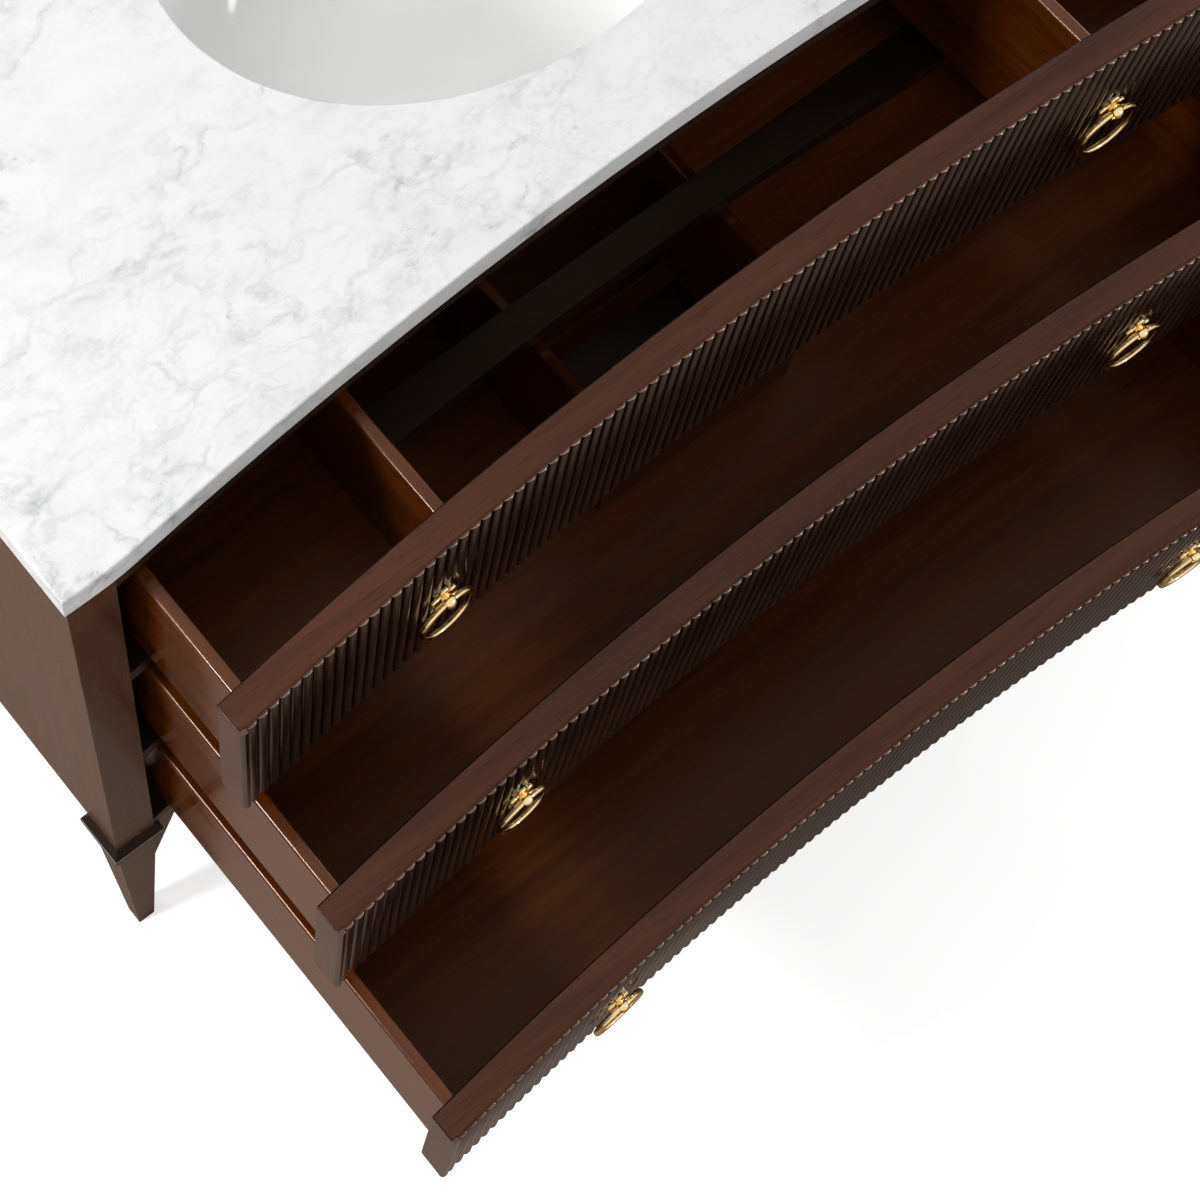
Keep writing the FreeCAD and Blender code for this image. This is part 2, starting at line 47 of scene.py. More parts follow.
# Camera, worked out from the photograph's perspective. The photograph is cut from a wider view,
# so the lens's middle lies off its middle.
PHOTO_PIXELS = 1200
FOCAL_PIXELS = 2572
LENS_MIDDLE_PIXEL = (257.5, 724.9)
CAMERA_PLACE = Vector((-0.834, -0.863, 2.470))
CAMERA_AIM = Vector((-0.515, -0.431, 0.893))
CAMERA_ROLL = math.radians(1.28)
SENSOR = 36

# Studio lamps are discs, each with a name, a place, an aim, a width and a power.
LAMPS = (
    ("key", (-2.8, 0.25, 2.2), (-0.2, -0.3, 0.7), 0.6, 62),
    ("overhead", (-0.9, 1.3, 3.2), (0, 0, 0.9), 1.6, 23),
    ("fill", (2.6, 0.3, 2.6), (-0.1, 0, 0.8), 0.4, 4),
    ("front", (1.5, -2.7, 1.9), (0, -0.3, 0.7), 0.5, 27),
)
SKY_LIGHT = 0.40
SKY_SHOWN = 1.0

# The floor is white to the camera. The lacquer in the photograph mirrors a darker, warmer floor.
FLOOR_HALF = 6.0
FLOOR_WHITES = ((0.84, 0.84, 0.84), (0.86, 0.86, 0.86))
FLOOR_HAZE = 1.3
FLOOR_MIRRORED = (0.33, 0.265, 0.225)
FLOOR_LIFT = 0.58
FLOOR_ROUGHNESS = 0.9

# Hollow front, as in the frame
FRONT_HOLLOW = 0.033
OPENING_HALF = 0.5215
REED_PITCH = 0.0105
REED_DEPTH = 0.003
FACING_THICKNESS = 0.0044
END_STRIP = 0.006
REED_TIP_ROUND = 0.0018
STRIP_TIP_ROUND = 0.0005
REED_SEGMENTS = 8
REED_FULLNESS = 0.94
STRIP_SEGMENTS = 5
ARC_RADIUS = (OPENING_HALF ** 2 + FRONT_HOLLOW ** 2) / (2 * FRONT_HOLLOW)

# Rings of a bar from its foot to its head: which end, and the shares of the tip round by which
# the ring lies in from that end and is drawn back.
BAR_RINGS = ((0, 0, 1), (0, 0.3, 0.3), (0, 1, 0), (1, -1, 0), (1, -0.3, 0.3), (1, 0, 1))

# Softened edges of the joinery. Edges as short as those round the pulls' bores stay crisp.
EDGE_ROUND = 0.0009
FRONT_ROUND = 0.0013
ROUND_SEGMENTS = 3
SHARP_ANGLE = math.radians(25)
FLAT_ANGLE = math.radians(0.05)
MERGE_DISTANCE = 1e-6
BORE_EDGE = 0.003
ARRIS_SLOT = 1
POST_SIZE = 0.041
CASE_HALF_DEPTH = 0.2825


# Stage

def place_camera():
    data = bpy.data.cameras.new("photo_camera")
    camera = bpy.data.objects.new("photo_camera", data)
    bpy.context.scene.collection.objects.link(camera)
    bpy.context.scene.camera = camera
    data.sensor_width = SENSOR
    data.lens = SENSOR * FOCAL_PIXELS / PHOTO_PIXELS
    data.shift_x = 0.5 - LENS_MIDDLE_PIXEL[0] / PHOTO_PIXELS
    data.shift_y = LENS_MIDDLE_PIXEL[1] / PHOTO_PIXELS - 0.5
    forward = (CAMERA_AIM - CAMERA_PLACE).normalized()
    level = forward.cross(Vector((0, 0, 1))).normalized()
    upright = level.cross(forward)
    right = level * math.cos(CAMERA_ROLL) - upright * math.sin(CAMERA_ROLL)
    up = upright * math.cos(CAMERA_ROLL) + level * math.sin(CAMERA_ROLL)
    turn = Matrix((right, up, -forward)).transposed().to_4x4()
    camera.matrix_world = Matrix.Translation(CAMERA_PLACE) @ turn


def area_light(name, place, aim, size, power):
    data = bpy.data.lights.new(name, "AREA")
    data.shape = "DISK"
    data.size = size
    data.energy = power
    lamp = bpy.data.objects.new(name, data)
    bpy.context.scene.collection.objects.link(lamp)
    toward = Vector(aim) - Vector(place)
    lamp.matrix_world = Matrix.Translation(place) @ toward.to_track_quat("-Z", "Y").to_matrix().to_4x4()


def shown_white(tree):
    """1 for rays that show the backdrop: straight to the camera, by a mirror or through glass."""
    rays = add(tree, "ShaderNodeLightPath").outputs
    mirrored = math_node(tree, "MAXIMUM", rays["Is Glossy Ray"], rays["Is Transmission Ray"])
    return math_node(tree, "MAXIMUM", rays["Is Camera Ray"], mirrored)


def light_stage():
    scene = bpy.context.scene
    scene.view_settings.view_transform = "Standard"
    world = bpy.data.worlds.new("studio")
    scene.world = world
    world.use_nodes = True
    tree = world.node_tree
    backdrop = tree.nodes["Background"]
    backdrop.inputs["Color"].default_value = (1, 1, 1, 1)
    strength = mapped(tree, shown_white(tree), 0.0, 1.0, SKY_LIGHT, SKY_SHOWN)
    tree.links.new(strength, backdrop.inputs["Strength"])
    for lamp in LAMPS:
        area_light(*lamp)


def studio_floor():
    mesh = bpy.data.meshes.new("studio_floor")
    corners = [(x * FLOOR_HALF, y * FLOOR_HALF, 0) for x, y in ((-1, -1), (1, -1), (1, 1), (-1, 1))]
    mesh.from_pydata(corners, [], [(0, 1, 2, 3)])
    floor = bpy.data.objects.new("studio_floor", mesh)
    bpy.context.scene.collection.objects.link(floor)
    material, tree, surface = new_material("studio_floor")
    coordinates = add(tree, "ShaderNodeTexCoord")
    haze = noise(tree, coordinates.outputs["Object"], FLOOR_HAZE)
    tint = blended(tree, haze, *FLOOR_WHITES)
    rays = add(tree, "ShaderNodeLightPath").outputs
    tint = blended(tree, rays["Is Glossy Ray"], tint, FLOOR_MIRRORED)
    tree.links.new(tint, surface.inputs["Base Color"])
    surface.inputs["Emission Color"].default_value = (1, 1, 1, 1)
    lift = math_node(tree, "MULTIPLY", rays["Is Camera Ray"], FLOOR_LIFT)
    tree.links.new(lift, surface.inputs["Emission Strength"])
    surface.inputs["Roughness"].default_value = FLOOR_ROUGHNESS
    surface.inputs["Specular IOR Level"].default_value = 0.0
    mesh.materials.append(material)


# Shader helpers

def add(tree, kind, inputs=None, **settings):
    """Adds a node; an input is given a value or the socket that feeds it."""
    node = tree.nodes.new(kind)
    for name, value in settings.items():
        setattr(node, name, value)
    for name, value in (inputs or {}).items():
        if isinstance(value, bpy.types.NodeSocket):
            tree.links.new(value, node.inputs[name])
        else:
            node.inputs[name].default_value = value
    return node


def math_node(tree, operation, first, second=0.0, clamp=False):
    node = add(tree, "ShaderNodeMath", {0: first, 1: second}, operation=operation, use_clamp=clamp)
    return node.outputs["Value"]


def mapped(tree, value, low, high, to_low=0.0, to_high=1.0):
    names = ("Value", "From Min", "From Max", "To Min", "To Max")
    node = add(tree, "ShaderNodeMapRange", dict(zip(names, (value, low, high, to_low, to_high))))
    return node.outputs["Result"]


def blended(tree, share, first, second):
    """Colour between two colours or colour sockets, which Mix has only by number."""
    node = add(tree, "ShaderNodeMix", data_type="RGBA")
    for socket, value in ((node.inputs[0], share), (node.inputs[6], first), (node.inputs[7], second)):
        if isinstance(value, bpy.types.NodeSocket):
            tree.links.new(value, socket)
        elif isinstance(value, tuple):
            socket.default_value = (*value, 1)
        else:
            socket.default_value = value
    return node.outputs[2]


def noise(tree, vector, scale, detail=2.0, roughness=0.5, distortion=0.0):
    node = add(tree, "ShaderNodeTexNoise", {"Vector": vector, "Scale": scale, "Detail": detail,
                                            "Roughness": roughness, "Distortion": distortion})
    return node.outputs["Fac"]


def new_material(name):
    material = bpy.data.materials.new(name)
    material.use_nodes = True
    tree = material.node_tree
    return material, tree, tree.nodes["Principled BSDF"]


def new_group(name, inputs, outputs):
    """Empty shader node group with named sockets; returns it, what enters it and what leaves it."""
    group = bpy.data.node_groups.new(name, "ShaderNodeTree")
    for side, sockets in (("INPUT", inputs), ("OUTPUT", outputs)):
        for socket, kind in sockets.items():
            group.interface.new_socket(name=socket, in_out=side, socket_type="NodeSocket" + kind)
    entry = group.nodes.new("NodeGroupInput")
    leave = group.nodes.new("NodeGroupOutput")
    return group, entry.outputs, leave.inputs


def use_group(tree, group, inputs):
    return add(tree, "ShaderNodeGroup", inputs, node_tree=group).outputs


def object_vector(tree, scale, turn=(0, 0, 0), shift=(0, 0, 0)):
    coordinates = add(tree, "ShaderNodeTexCoord")
    mapping = add(tree, "ShaderNodeMapping", {"Vector": coordinates.outputs["Object"], "Scale": scale,
                                              "Rotation": turn, "Location": shift})
    return mapping.outputs["Vector"]


# Finishes. A stain runs from its dark streaks to its light ones.

CASE_STAIN = ((0.048, 0.0150, 0.0045), (0.078, 0.0250, 0.0075))
# Rails: a dark stain deepened into painted shade for the rails under the top and between the drawers.
RAIL_STAIN_AND_PAINTED_SHADE = ((0.010, 0.0047, 0.0026), (0.020, 0.0094, 0.0054))
BACK_STAIN = ((0.030, 0.014, 0.008), (0.050, 0.024, 0.014))
# Runners: near-black painted shade for the dark gap beside the posts.
RUNNER_PAINTED_SHADE = ((0.005, 0.003, 0.002), (0.010, 0.006, 0.004))
DRAWER_FLOOR_STAIN = ((0.056, 0.0150, 0.0040), (0.140, 0.0380, 0.0098))
DRAWER_SIDE_STAIN = ((0.040, 0.0088, 0.0014), (0.118, 0.0270, 0.0033))
FRONT_STAIN = ((0.036, 0.0126, 0.0070), (0.084, 0.0296, 0.0170))
REED_STAIN = ((0.014, 0.0066, 0.0042), (0.031, 0.0147, 0.0093))
# Painted shade: near-black colour for the hollows between the reeds.
HOLLOW_PAINTED_SHADE = (0.002, 0.001, 0.0007)
COLLAR_STAIN = ((0.003, 0.002, 0.0016), (0.007, 0.005, 0.004))
DARK_EDGE = (0.006, 0.0025, 0.0016)
# Painted highlight: a pale colour laid on the collars' rounded edges and round the reed tips in place of
# highlight lines.
PAINTED_EDGE_HIGHLIGHT = (0.24, 0.185, 0.155)
PORE_SHADE = 0.45
LACQUER_TINT = (1.0, 0.76, 0.63, 1.0)
LACQUER_SPREAD = (-0.04, 0.05)

MARBLE_WHITE = (0.86, 0.86, 0.86)
MARBLE_CLOUD = (0.66, 0.665, 0.67)
MARBLE_VEIN = (0.44, 0.445, 0.45)
MARBLE_SPECK = (0.30, 0.295, 0.28)
VEIN_RUN = math.radians(-14)

# Scale and strand width of the marble's three nets of veins
VEIN_NETS = ((0.75, 0.085), (1.9, 0.13), (4.2, 0.17))

BASIN_WHITES = ((0.89, 0.89, 0.87), (0.91, 0.91, 0.90))
BRASS = ((0.86, 0.61, 0.26), (0.95, 0.74, 0.40))
STEEL = ((0.42, 0.42, 0.42), (0.56, 0.56, 0.55))

GRAIN_ALONG = 5.0
GRAIN_ACROSS = 70.0
GRAIN_SCALES = {
    "x": (GRAIN_ALONG, GRAIN_ACROSS, GRAIN_ACROSS),
    "y": (GRAIN_ACROSS, GRAIN_ALONG, GRAIN_ACROSS),
    "z": (GRAIN_ACROSS, GRAIN_ACROSS, GRAIN_ALONG),
}
DRAWER_FIGURE_SHIFT = (3, 1, 2)


def mahogany_figure():
    """Long streaks, short pores and a slow change of tone, on a vector stretched along the grain."""
    outputs = dict.fromkeys(("Tone", "Pores"), "Float")
    group, entry, leave = new_group("mahogany_figure", {"Vector": "Vector"}, outputs)
    streaks = noise(group, entry["Vector"], 1.0, 5.0, 0.6)
    bands = noise(group, entry["Vector"], 0.22, 2.0)
    streaks = math_node(group, "MULTIPLY", streaks, 0.6)
    tone = math_node(group, "ADD", streaks, math_node(group, "MULTIPLY", bands, 0.4))
    fine = noise(group, entry["Vector"], 7.0, 2.0, 0.6)
    group.links.new(mapped(group, tone, 0.34, 0.66), leave["Tone"])
    group.links.new(mapped(group, fine, 0.56, 0.70), leave["Pores"])
    return group


def arris_edge_colour_and_painted_highlight():
    """The stain, changed on the rounded edges that softened() marks: darker on the drawer fronts, a painted
    highlight on the collars.
    """
    group, entry, leave = new_group("arris_edge_colour_and_painted_highlight", {"Stain": "Color", "Edge": "Color"}, {"Result": "Color"})
    arris = add(group, "ShaderNodeAttribute", attribute_name="arris").outputs["Fac"]
    group.links.new(blended(group, arris, entry["Stain"], entry["Edge"]), leave["Result"])
    return group


FIGURE = mahogany_figure()
ARRIS = arris_edge_colour_and_painted_highlight()


def figure_marks(tree, grain, shift=(0, 0, 0)):
    return use_group(tree, FIGURE, {"Vector": object_vector(tree, GRAIN_SCALES[grain], shift=shift)})


def at_arris(tree, stain, edge):
    return use_group(tree, ARRIS, {"Stain": stain, "Edge": (*edge, 1)})["Result"]


def mahogany(name, grain, stain, roughness, pores=0.3, gloss=0.5, shift=(0, 0, 0), edge=None):
    """Stained mahogany under a warm lacquer, with its grain along one axis."""
    material, tree, surface = new_material(name)
    marks = figure_marks(tree, grain, shift)
    colour = blended(tree, marks["Tone"], *stain)
    pore = tuple(PORE_SHADE * channel for channel in stain[0])
    colour = blended(tree, math_node(tree, "MULTIPLY", marks["Pores"], pores), colour, pore)
    if edge:
        colour = at_arris(tree, colour, edge)
    tree.links.new(colour, surface.inputs["Base Color"])
    smoothest, roughest = (roughness + spread for spread in LACQUER_SPREAD)
    tree.links.new(mapped(tree, marks["Tone"], 0.0, 1.0, smoothest, roughest), surface.inputs["Roughness"])
    surface.inputs["Specular IOR Level"].default_value = gloss
    surface.inputs["Specular Tint"].default_value = LACQUER_TINT
    return material


def reeded_mahogany():
    """Darker stain on the reeds, with painted shade in the hollows between them and a painted highlight round
    their tips.
    """
    material, tree, surface = new_material("reeded_mahogany")
    marks = figure_marks(tree, "z")
    crown = add(tree, "ShaderNodeAttribute", attribute_name="crown").outputs["Fac"]
    cap = add(tree, "ShaderNodeAttribute", attribute_name="cap").outputs["Fac"]
    colour = blended(tree, marks["Tone"], *REED_STAIN)
    # Painted shade, darkest in the hollows between the reeds.
    colour = blended(tree, mapped(tree, crown, 0.15, 0.95, 0.95, 0.0), colour, HOLLOW_PAINTED_SHADE)
    colour = blended(tree, cap, colour, blended(tree, marks["Tone"], *FRONT_STAIN))
    # Painted highlight round the reed tips: a pale colour blended in on the tip rounds, varied with the grain
    # tone.
    tip = math_node(tree, "MULTIPLY", cap, math_node(tree, "SUBTRACT", 1.0, cap))
    uneven = mapped(tree, marks["Tone"], 0.2, 0.8, 0.3, 1.0)
    tip_highlight = math_node(tree, "MULTIPLY", mapped(tree, tip, 0.10, 0.25), uneven)
    tree.links.new(blended(tree, tip_highlight, colour, PAINTED_EDGE_HIGHLIGHT), surface.inputs["Base Color"])
    tree.links.new(mapped(tree, marks["Tone"], 0.0, 1.0, 0.15, 0.22), surface.inputs["Roughness"])
    tree.links.new(mapped(tree, crown, 0.3, 1.0, 0.08, 0.85), surface.inputs["Specular IOR Level"])
    surface.inputs["Specular Tint"].default_value = LACQUER_TINT
    return material


def collar_finish():
    material, tree, surface = new_material("collar_finish")
    marks = figure_marks(tree, "x")
    colour = blended(tree, marks["Tone"], *COLLAR_STAIN)
    # Painted highlight lines on the collar's rounded edges.
    tree.links.new(at_arris(tree, colour, PAINTED_EDGE_HIGHLIGHT), surface.inputs["Base Color"])
    tree.links.new(mapped(tree, marks["Pores"], 0.0, 1.0, 0.14, 0.24), surface.inputs["Roughness"])
    surface.inputs["Specular IOR Level"].default_value = 0.35
    surface.inputs["Specular Tint"].default_value = LACQUER_TINT
    return material


def carrara_veins():
    """Soft grey clouds, a broken net of blurred veins, and dark specks that gather along the strongest."""
    outputs = dict.fromkeys(("Cloud", "Veins", "Specks"), "Float")
    group, entry, leave = new_group("carrara_veins", {"Vector": "Vector"}, outputs)
    vector = entry["Vector"]
    stir = add(group, "ShaderNodeTexNoise", {"Vector": vector, "Scale": 1.1, "Detail": 6.0, "Roughness": 0.6})
    bend = add(group, "ShaderNodeVectorMath", {0: stir.outputs["Color"], 1: (1.3, 1.3, 1.3), 2: vector},
               operation="MULTIPLY_ADD").outputs["Vector"]
    nets = []
    for scale, width in VEIN_NETS:
        cells = add(group, "ShaderNodeTexVoronoi", {"Vector": bend, "Scale": scale},
                    feature="DISTANCE_TO_EDGE")
        strand = mapped(group, cells.outputs["Distance"], 0.0, width, 1.0, 0.0)
        nets.append(math_node(group, "MULTIPLY", strand, strand))
    patches = mapped(group, noise(group, vector, 0.75, 3.0, 0.6, 0.4), 0.40, 0.66)
    broken = mapped(group, noise(group, vector, 4.5, 4.0, 0.65), 0.34, 0.66)
    veins = math_node(group, "ADD", nets[0], math_node(group, "MULTIPLY", nets[1], 0.5), clamp=True)
    veins = math_node(group, "MULTIPLY", math_node(group, "MULTIPLY", veins, patches), broken)
    web = math_node(group, "MULTIPLY", math_node(group, "ADD", nets[1], nets[2], clamp=True), broken)
    spread = mapped(group, noise(group, vector, 0.5, 2.0), 0.35, 0.65, 0.05, 0.30)
    veins = math_node(group, "ADD", veins, math_node(group, "MULTIPLY", web, spread), clamp=True)
    grit = mapped(group, noise(group, vector, 16.0, 2.0, 0.6), 0.64, 0.70)
    core = mapped(group, nets[0], 0.35, 0.75)
    specks = math_node(group, "MULTIPLY", math_node(group, "MULTIPLY", grit, core), patches)
    cloud = mapped(group, noise(group, vector, 1.5, 6.0, 0.6, 0.5), 0.46, 0.76)
    group.links.new(cloud, leave["Cloud"])
    group.links.new(veins, leave["Veins"])
    group.links.new(specks, leave["Specks"])
    return group


def marble():
    material, tree, surface = new_material("marble")
    vector = object_vector(tree, (9.0, 12.0, 12.0), turn=(0, 0, VEIN_RUN))
    marks = use_group(tree, carrara_veins(), {"Vector": vector})
    stone = blended(tree, math_node(tree, "MULTIPLY", marks["Cloud"], 0.35), MARBLE_WHITE, MARBLE_CLOUD)
    stone = blended(tree, math_node(tree, "MULTIPLY", marks["Veins"], 0.95), stone, MARBLE_VEIN)
    stone = blended(tree, math_node(tree, "MULTIPLY", marks["Specks"], 0.6), stone, MARBLE_SPECK)
    tree.links.new(stone, surface.inputs["Base Color"])
    tree.links.new(mapped(tree, marks["Cloud"], 0.0, 1.0, 0.10, 0.16), surface.inputs["Roughness"])
    surface.inputs["Specular IOR Level"].default_value = 0.15
    return material


def basin_glaze():
    material, tree, surface = new_material("basin_glaze")
    wave = noise(tree, object_vector(tree, (4, 4, 4)), 1.0, 2.0)
    tree.links.new(blended(tree, wave, *BASIN_WHITES), surface.inputs["Base Color"])
    tree.links.new(mapped(tree, wave, 0.0, 1.0, 0.08, 0.16), surface.inputs["Roughness"])
    return material


def polished_brass():
    material, tree, surface = new_material("polished_brass")
    wear = noise(tree, object_vector(tree, (90, 90, 90)), 1.0, 3.0)
    tree.links.new(blended(tree, wear, *BRASS), surface.inputs["Base Color"])
    tree.links.new(mapped(tree, wear, 0.2, 0.8, 0.07, 0.15), surface.inputs["Roughness"])
    surface.inputs["Metallic"].default_value = 1.0
    return material


def steel_fittings():
    material, tree, surface = new_material("steel_fittings")
    brush = noise(tree, object_vector(tree, (400, 400, 40)), 1.0, 2.0)
    tree.links.new(blended(tree, brush, *STEEL), surface.inputs["Base Color"])
    tree.links.new(mapped(tree, brush, 0.0, 1.0, 0.28, 0.42), surface.inputs["Roughness"])
    surface.inputs["Metallic"].default_value = 1.0
    return material


def all_materials():
    made = {}
    for grain in "xyz":
        made["case_" + grain] = mahogany("case_mahogany_" + grain, grain, CASE_STAIN, 0.26, pores=0.05)
    made["drawer_x"] = mahogany("drawer_mahogany_x", "x", DRAWER_FLOOR_STAIN, 0.32, gloss=0.2,
                                shift=DRAWER_FIGURE_SHIFT)
    made["drawer_y"] = mahogany("drawer_mahogany_y", "y", DRAWER_SIDE_STAIN, 0.15, shift=DRAWER_FIGURE_SHIFT)
    made["front"] = mahogany("front_mahogany", "x", FRONT_STAIN, 0.20, pores=0.5, gloss=0.25, edge=DARK_EDGE)
    # Runners painted near-black as shade.
    made["runner"] = mahogany("runner_wood", "y", RUNNER_PAINTED_SHADE, 0.60)
    # Rails darkened with painted shade as well as stain.
    made["rail"] = mahogany("rail_mahogany_painted_shade", "x", RAIL_STAIN_AND_PAINTED_SHADE, 0.40)
    made["back_board"] = mahogany("back_board", "x", BACK_STAIN, 0.60)
    made["reeded"] = reeded_mahogany()
    made["collar"] = collar_finish()
    made["marble"] = marble()
    made["glaze"] = basin_glaze()
    made["brass"] = polished_brass()
    made["steel"] = steel_fittings()
    return made


MATERIALS = all_materials()


def material_of(node):
    """Finish of a CAD node, by its name."""
    if "collar" in node:
        return "collar"
    if node.startswith("leg_") or node.startswith("side_panel"):
        return "case_z"
    if node.endswith("_rail"):
        return "rail"
    if node == "bottom_panel":
        return "case_x"
    if "runner" in node:
        return "runner"
    if node == "back_panel":
        return "back_board"
    if node == "marble_top":
        return "marble"
    if node == "basin":
        return "glaze"
    if "clips" in node or "screws" in node:
        return "steel"
    if "posts" in node or "_ring_" in node:
        return "brass"
    if node.endswith("drawer_front"):
        return "front"
    if node.endswith("reeding"):
        return "reeded"
    if "side" in node or "divider" in node or node.endswith("well_left") or node.endswith("well_right"):
        return "drawer_y"
    return "drawer_x"


def paint_frame():
    for name, node in NODES.items():
        node.data.materials.clear()
        node.data.materials.append(MATERIALS[material_of(name)])


# Pieces that stand for CAD nodes

def new_piece(name, mesh, material, body, slot, *nodes):
    mesh.materials.clear()
    mesh.materials.append(MATERIALS[material])
    piece = bpy.data.objects.new(name, mesh)
    bpy.context.scene.collection.objects.link(piece)
    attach(piece, body)
    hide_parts(*nodes)
    return piece


def plain_mesh(source, name):
    """The source with its modifiers applied, as a mesh; the source is removed."""
    graph = bpy.context.evaluated_depsgraph_get()
    mesh = bpy.data.meshes.new_from_object(source.evaluated_get(graph))
    mesh.name = name
    bpy.data.objects.remove(source)
    return mesh


def softened(node, width, kept_crisp):
    """Copy of a CAD node's mesh with its sharp edges rounded and marked, but for those kept crisp."""
    sharp_mesh = bpy.data.meshes.new(node + "_sharp")
    work = bmesh.new()
    work.from_mesh(NODES[node].data)
    bmesh.ops.remove_doubles(work, verts=work.verts, dist=MERGE_DISTANCE)
    bmesh.ops.dissolve_limit(work, angle_limit=FLAT_ANGLE, verts=work.verts, edges=work.edges)
    weight = work.edges.layers.float.new("bevel_weight_edge")
    for edge in work.edges:
        sharp = edge.calc_length() > BORE_EDGE and edge.calc_face_angle() > SHARP_ANGLE
        edge[weight] = float(sharp and not kept_crisp(edge))
    work.to_mesh(sharp_mesh)
    work.free()
    # The bevel puts its faces in a slot of their own, from which the arris is read.
    for _ in range(ARRIS_SLOT + 1):
        sharp_mesh.materials.append(MATERIALS["front"])
    source = bpy.data.objects.new(node + "_source", sharp_mesh)
    bpy.context.scene.collection.objects.link(source)
    bevel = source.modifiers.new("soft_edges", "BEVEL")
    bevel.width = width
    bevel.segments = ROUND_SEGMENTS
    bevel.limit_method = "WEIGHT"
    bevel.harden_normals = True
    bevel.material = ARRIS_SLOT
    mesh = plain_mesh(source, node + "_soft")
    arris = mesh.attributes.new("arris", "FLOAT", "FACE")
    for face in mesh.polygons:
        arris.data[face.index].value = float(face.material_index == ARRIS_SLOT)
        face.material_index = 0
    return mesh


def hollow_centre(row):
    """Where a drawer's hollow is struck from, along y."""
    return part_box(row + "_drawer_reeding")[1].y - FACING_THICKNESS - ARC_RADIUS


def beside_panel(edge):
    """True for a leg's upright edge that lies flush against the side panel."""
    return all(abs(vert.co.y) < CASE_HALF_DEPTH - POST_SIZE / 2 for vert in edge.verts)


def against_reeding(centre_y):
    """Picks the edges of a drawer front's core that the reeded facing covers."""
    def picked(edge):
        radii = [math.hypot(vert.co.x, vert.co.y - centre_y) for vert in edge.verts]
        return all(abs(radius - ARC_RADIUS - FACING_THICKNESS) < EDGE_ROUND for radius in radii)
    return picked


def off_the_moulding(edge):
    """True for a collar's edge that lies against the post, or on a mitre."""
    low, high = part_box("leg_collars")
    bottom, top = sorted(vert.co.z for vert in edge.verts)
    return top - bottom > EDGE_ROUND or bottom > high.z - EDGE_ROUND or top < low.z + EDGE_ROUND


def soften_joinery():
    for row in ROWS:
        node = row + "_drawer_front"
        mesh = softened(node, FRONT_ROUND, against_reeding(hollow_centre(row)))
        new_piece(node + "_soft", mesh, "front", row + "_drawer", "front_mahogany", node)
    for corner in ("front_left", "front_right", "rear_left", "rear_right"):
        node = "leg_" + corner
        mesh = softened(node, EDGE_ROUND, beside_panel)
        new_piece(node + "_soft", mesh, "case_z", "case", "case_mahogany", node)
    mesh = softened("leg_collars", EDGE_ROUND, off_the_moulding)
    new_piece("leg_collars_soft", mesh, "collar", "case", "collar_finish", "leg_collars")


# Reeding

def add_profile_bar(work, profile, tip, bottom, height):
    """Upright bar with a plan profile of (x, y, crown) points, its ends drawn in by the tip."""
    crown_layer = work.verts.layers.float["crown"]
    cap_layer = work.verts.layers.float["cap"]
    rings = []
    for end, inward, draw_in in BAR_RINGS:
        ring = []
        for x, y, crown in profile:
            vert = work.verts.new((x, y + crown * draw_in * tip, bottom + end * height + inward * tip))
            vert[crown_layer] = crown
            vert[cap_layer] = float(draw_in == 1)
            ring.append(vert)
        rings.append(ring)
    faces = [work.faces.new(rings[-1]), work.faces.new(rings[0][::-1])]
    for lower, upper in zip(rings, rings[1:]):
        for place in range(len(profile)):
            before = place - 1
            faces.append(work.faces.new((lower[before], lower[place], upper[place], upper[before])))
    bmesh.ops.recalc_face_normals(work, faces=faces)


def reed_bar(height, pitch):
    """One upright reed: a rounded ridge on a thin backing, standing on z = 0 with its crown on y = 0."""
    low = math.sqrt(1 - REED_FULLNESS ** 2)
    profile = []
    for step in range(REED_SEGMENTS + 1):
        across = 2 * step / REED_SEGMENTS - 1
        crown = (math.sqrt(1 - (REED_FULLNESS * across) ** 2) - low) / (1 - low)
        profile.append((across * pitch / 2, REED_DEPTH * (1 - crown), crown))
    profile.append((pitch / 2, FACING_THICKNESS, 0.0))
    profile.append((-pitch / 2, FACING_THICKNESS, 0.0))
    work = bmesh.new()
    for name in ("crown", "cap"):
        work.verts.layers.float.new(name)
    add_profile_bar(work, profile, REED_TIP_ROUND, 0, height)
    mesh = bpy.data.meshes.new("reed_bar")
    work.to_mesh(mesh)
    work.free()
    for face in mesh.polygons:
        face.use_smooth = len(face.vertices) == 4
    return mesh


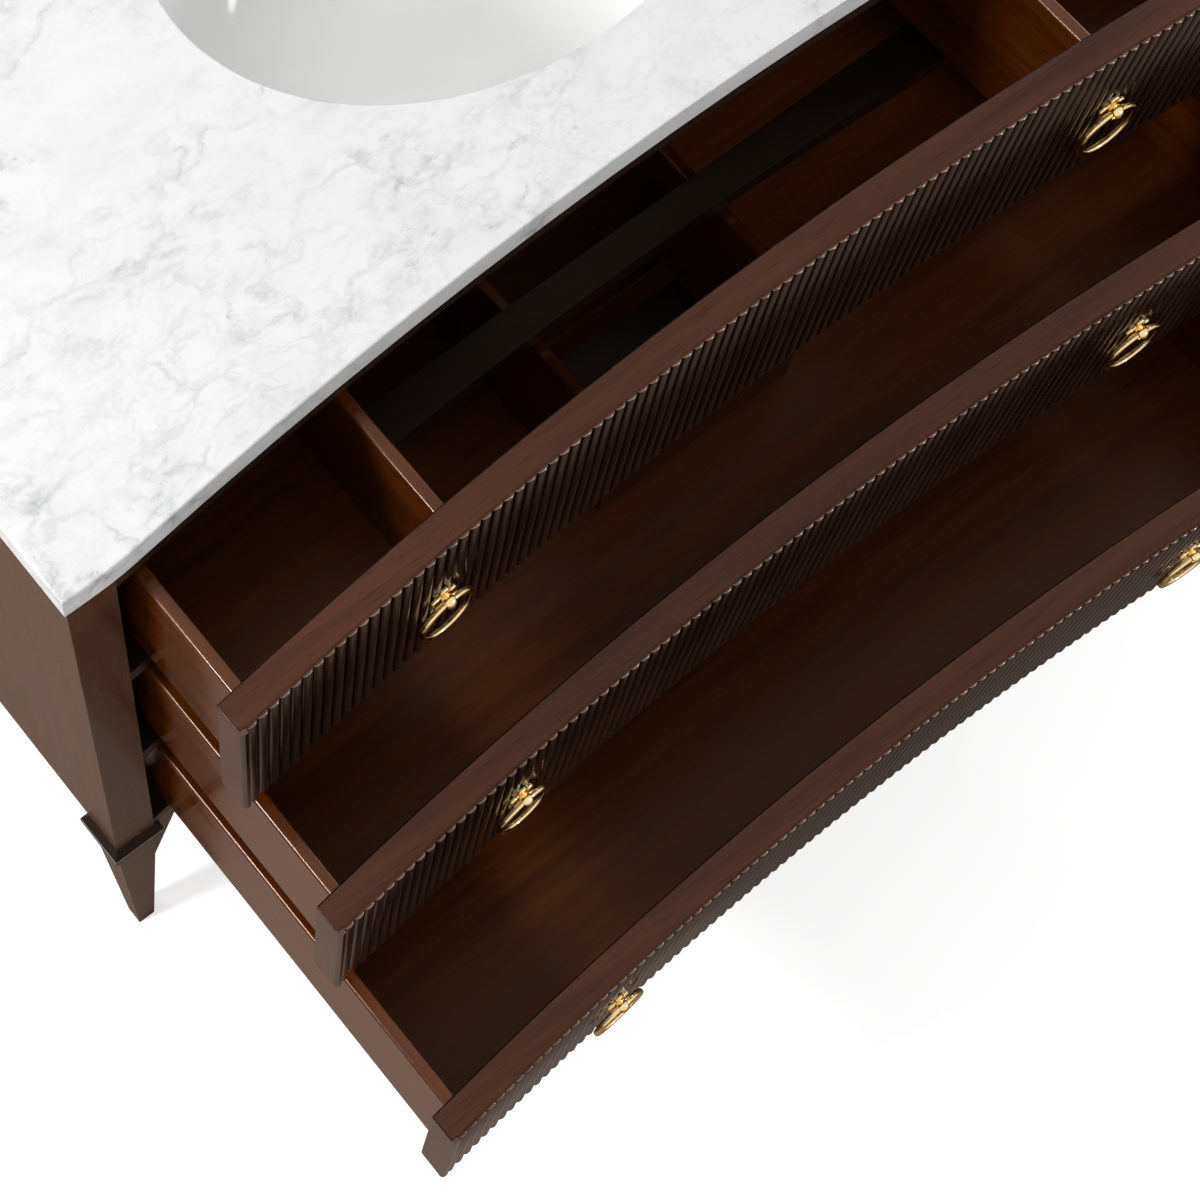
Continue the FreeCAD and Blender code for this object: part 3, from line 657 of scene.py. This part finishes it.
def reeding_tree(material):
    """Geometry Nodes: sets copies of one reed side by side along the hollow."""
    tree = bpy.data.node_groups.new("reeds_along_hollow", "GeometryNodeTree")
    tree.interface.new_socket(name="Geometry", in_out="OUTPUT", socket_type="NodeSocketGeometry")
    sizes = {"Reed": "Object", "Count": "Int", "Half Angle": "Float", "Radius": "Float", "Centre": "Vector"}
    for name, kind in sizes.items():
        tree.interface.new_socket(name=name, in_out="INPUT", socket_type="NodeSocket" + kind)
    entry = tree.nodes.new("NodeGroupInput").outputs
    points = add(tree, "GeometryNodePoints", {"Count": entry["Count"]})
    index = add(tree, "GeometryNodeInputIndex").outputs["Index"]
    share = math_node(tree, "DIVIDE", math_node(tree, "ADD", index, 0.5), entry["Count"])
    across = math_node(tree, "SUBTRACT", math_node(tree, "MULTIPLY", share, 2.0), 1.0)
    angle = math_node(tree, "MULTIPLY", across, entry["Half Angle"])
    around = add(tree, "ShaderNodeCombineXYZ", {
        "X": math_node(tree, "MULTIPLY", math_node(tree, "SINE", angle), entry["Radius"]),
        "Y": math_node(tree, "MULTIPLY", math_node(tree, "COSINE", angle), entry["Radius"]),
    })
    place = add(tree, "ShaderNodeVectorMath", {0: around.outputs["Vector"], 1: entry["Centre"]},
                operation="ADD").outputs["Vector"]
    placed = add(tree, "GeometryNodeSetPosition", {"Geometry": points.outputs[0], "Position": place})
    reed = add(tree, "GeometryNodeObjectInfo", {"Object": entry["Reed"]})
    turn = add(tree, "ShaderNodeCombineXYZ", {"Z": math_node(tree, "MULTIPLY", angle, -1.0)})
    copies = add(tree, "GeometryNodeInstanceOnPoints", {
        "Points": placed.outputs["Geometry"],
        "Instance": reed.outputs["Geometry"],
        "Rotation": turn.outputs["Vector"],
    })
    real = add(tree, "GeometryNodeRealizeInstances", {"Geometry": copies.outputs["Instances"]})
    finished = add(tree, "GeometryNodeSetMaterial", {"Geometry": real.outputs[0], "Material": material})
    leave = tree.nodes.new("NodeGroupOutput")
    tree.links.new(finished.outputs["Geometry"], leave.inputs["Geometry"])
    return tree


def end_strips(mesh, half, inner_half, centre_y, bottom, height):
    """Adds the plain rounded strip at each end of a reeded facing."""
    outline = [(inner_half, ARC_RADIUS + FACING_THICKNESS), (inner_half, ARC_RADIUS)]
    for step in range(STRIP_SEGMENTS + 1):
        turn = step / STRIP_SEGMENTS * math.pi / 2
        x = half - FACING_THICKNESS + FACING_THICKNESS * math.sin(turn)
        outline.append((x, ARC_RADIUS + FACING_THICKNESS * (1 - math.cos(turn))))
    work = bmesh.new()
    work.from_mesh(mesh)
    for side in (-1, 1):
        profile = [(x * side, centre_y + math.sqrt(radius ** 2 - x ** 2), 1.0) for x, radius in outline]
        add_profile_bar(work, profile, STRIP_TIP_ROUND, bottom, height)
    work.to_mesh(mesh)
    work.free()


def add_reeding():
    tree = reeding_tree(MATERIALS["reeded"])
    sockets = {item.name: item.identifier for item in tree.interface.items_tree}
    for row in ROWS:
        node = row + "_drawer_reeding"
        low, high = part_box(node)
        height = high.z - low.z
        inner_half = high.x - END_STRIP
        half_angle = math.asin(inner_half / ARC_RADIUS)
        count = round(2 * half_angle * ARC_RADIUS / REED_PITCH)
        centre = Vector((0, hollow_centre(row), low.z))
        reed = bpy.data.objects.new("reed", reed_bar(height, 2 * half_angle * ARC_RADIUS / count))
        host = bpy.data.objects.new(node + "_host", bpy.data.meshes.new(node + "_host"))
        bpy.context.scene.collection.objects.link(reed)
        bpy.context.scene.collection.objects.link(host)
        pattern = host.modifiers.new("reeds", "NODES")
        pattern.node_group = tree
        sizes = {"Count": count, "Half Angle": half_angle, "Radius": ARC_RADIUS, "Centre": centre}
        for name, value in {"Reed": reed, **sizes}.items():
            pattern[sockets[name]] = value
        mesh = plain_mesh(host, node + "_reeds")
        bpy.data.objects.remove(reed)
        end_strips(mesh, high.x, inner_half, centre.y, low.z, height)
        new_piece(node + "_reeds", mesh, "reeded", row + "_drawer", "reeded_mahogany", node)


paint_frame()
soften_joinery()
add_reeding()
studio_floor()
light_stage()
place_camera()
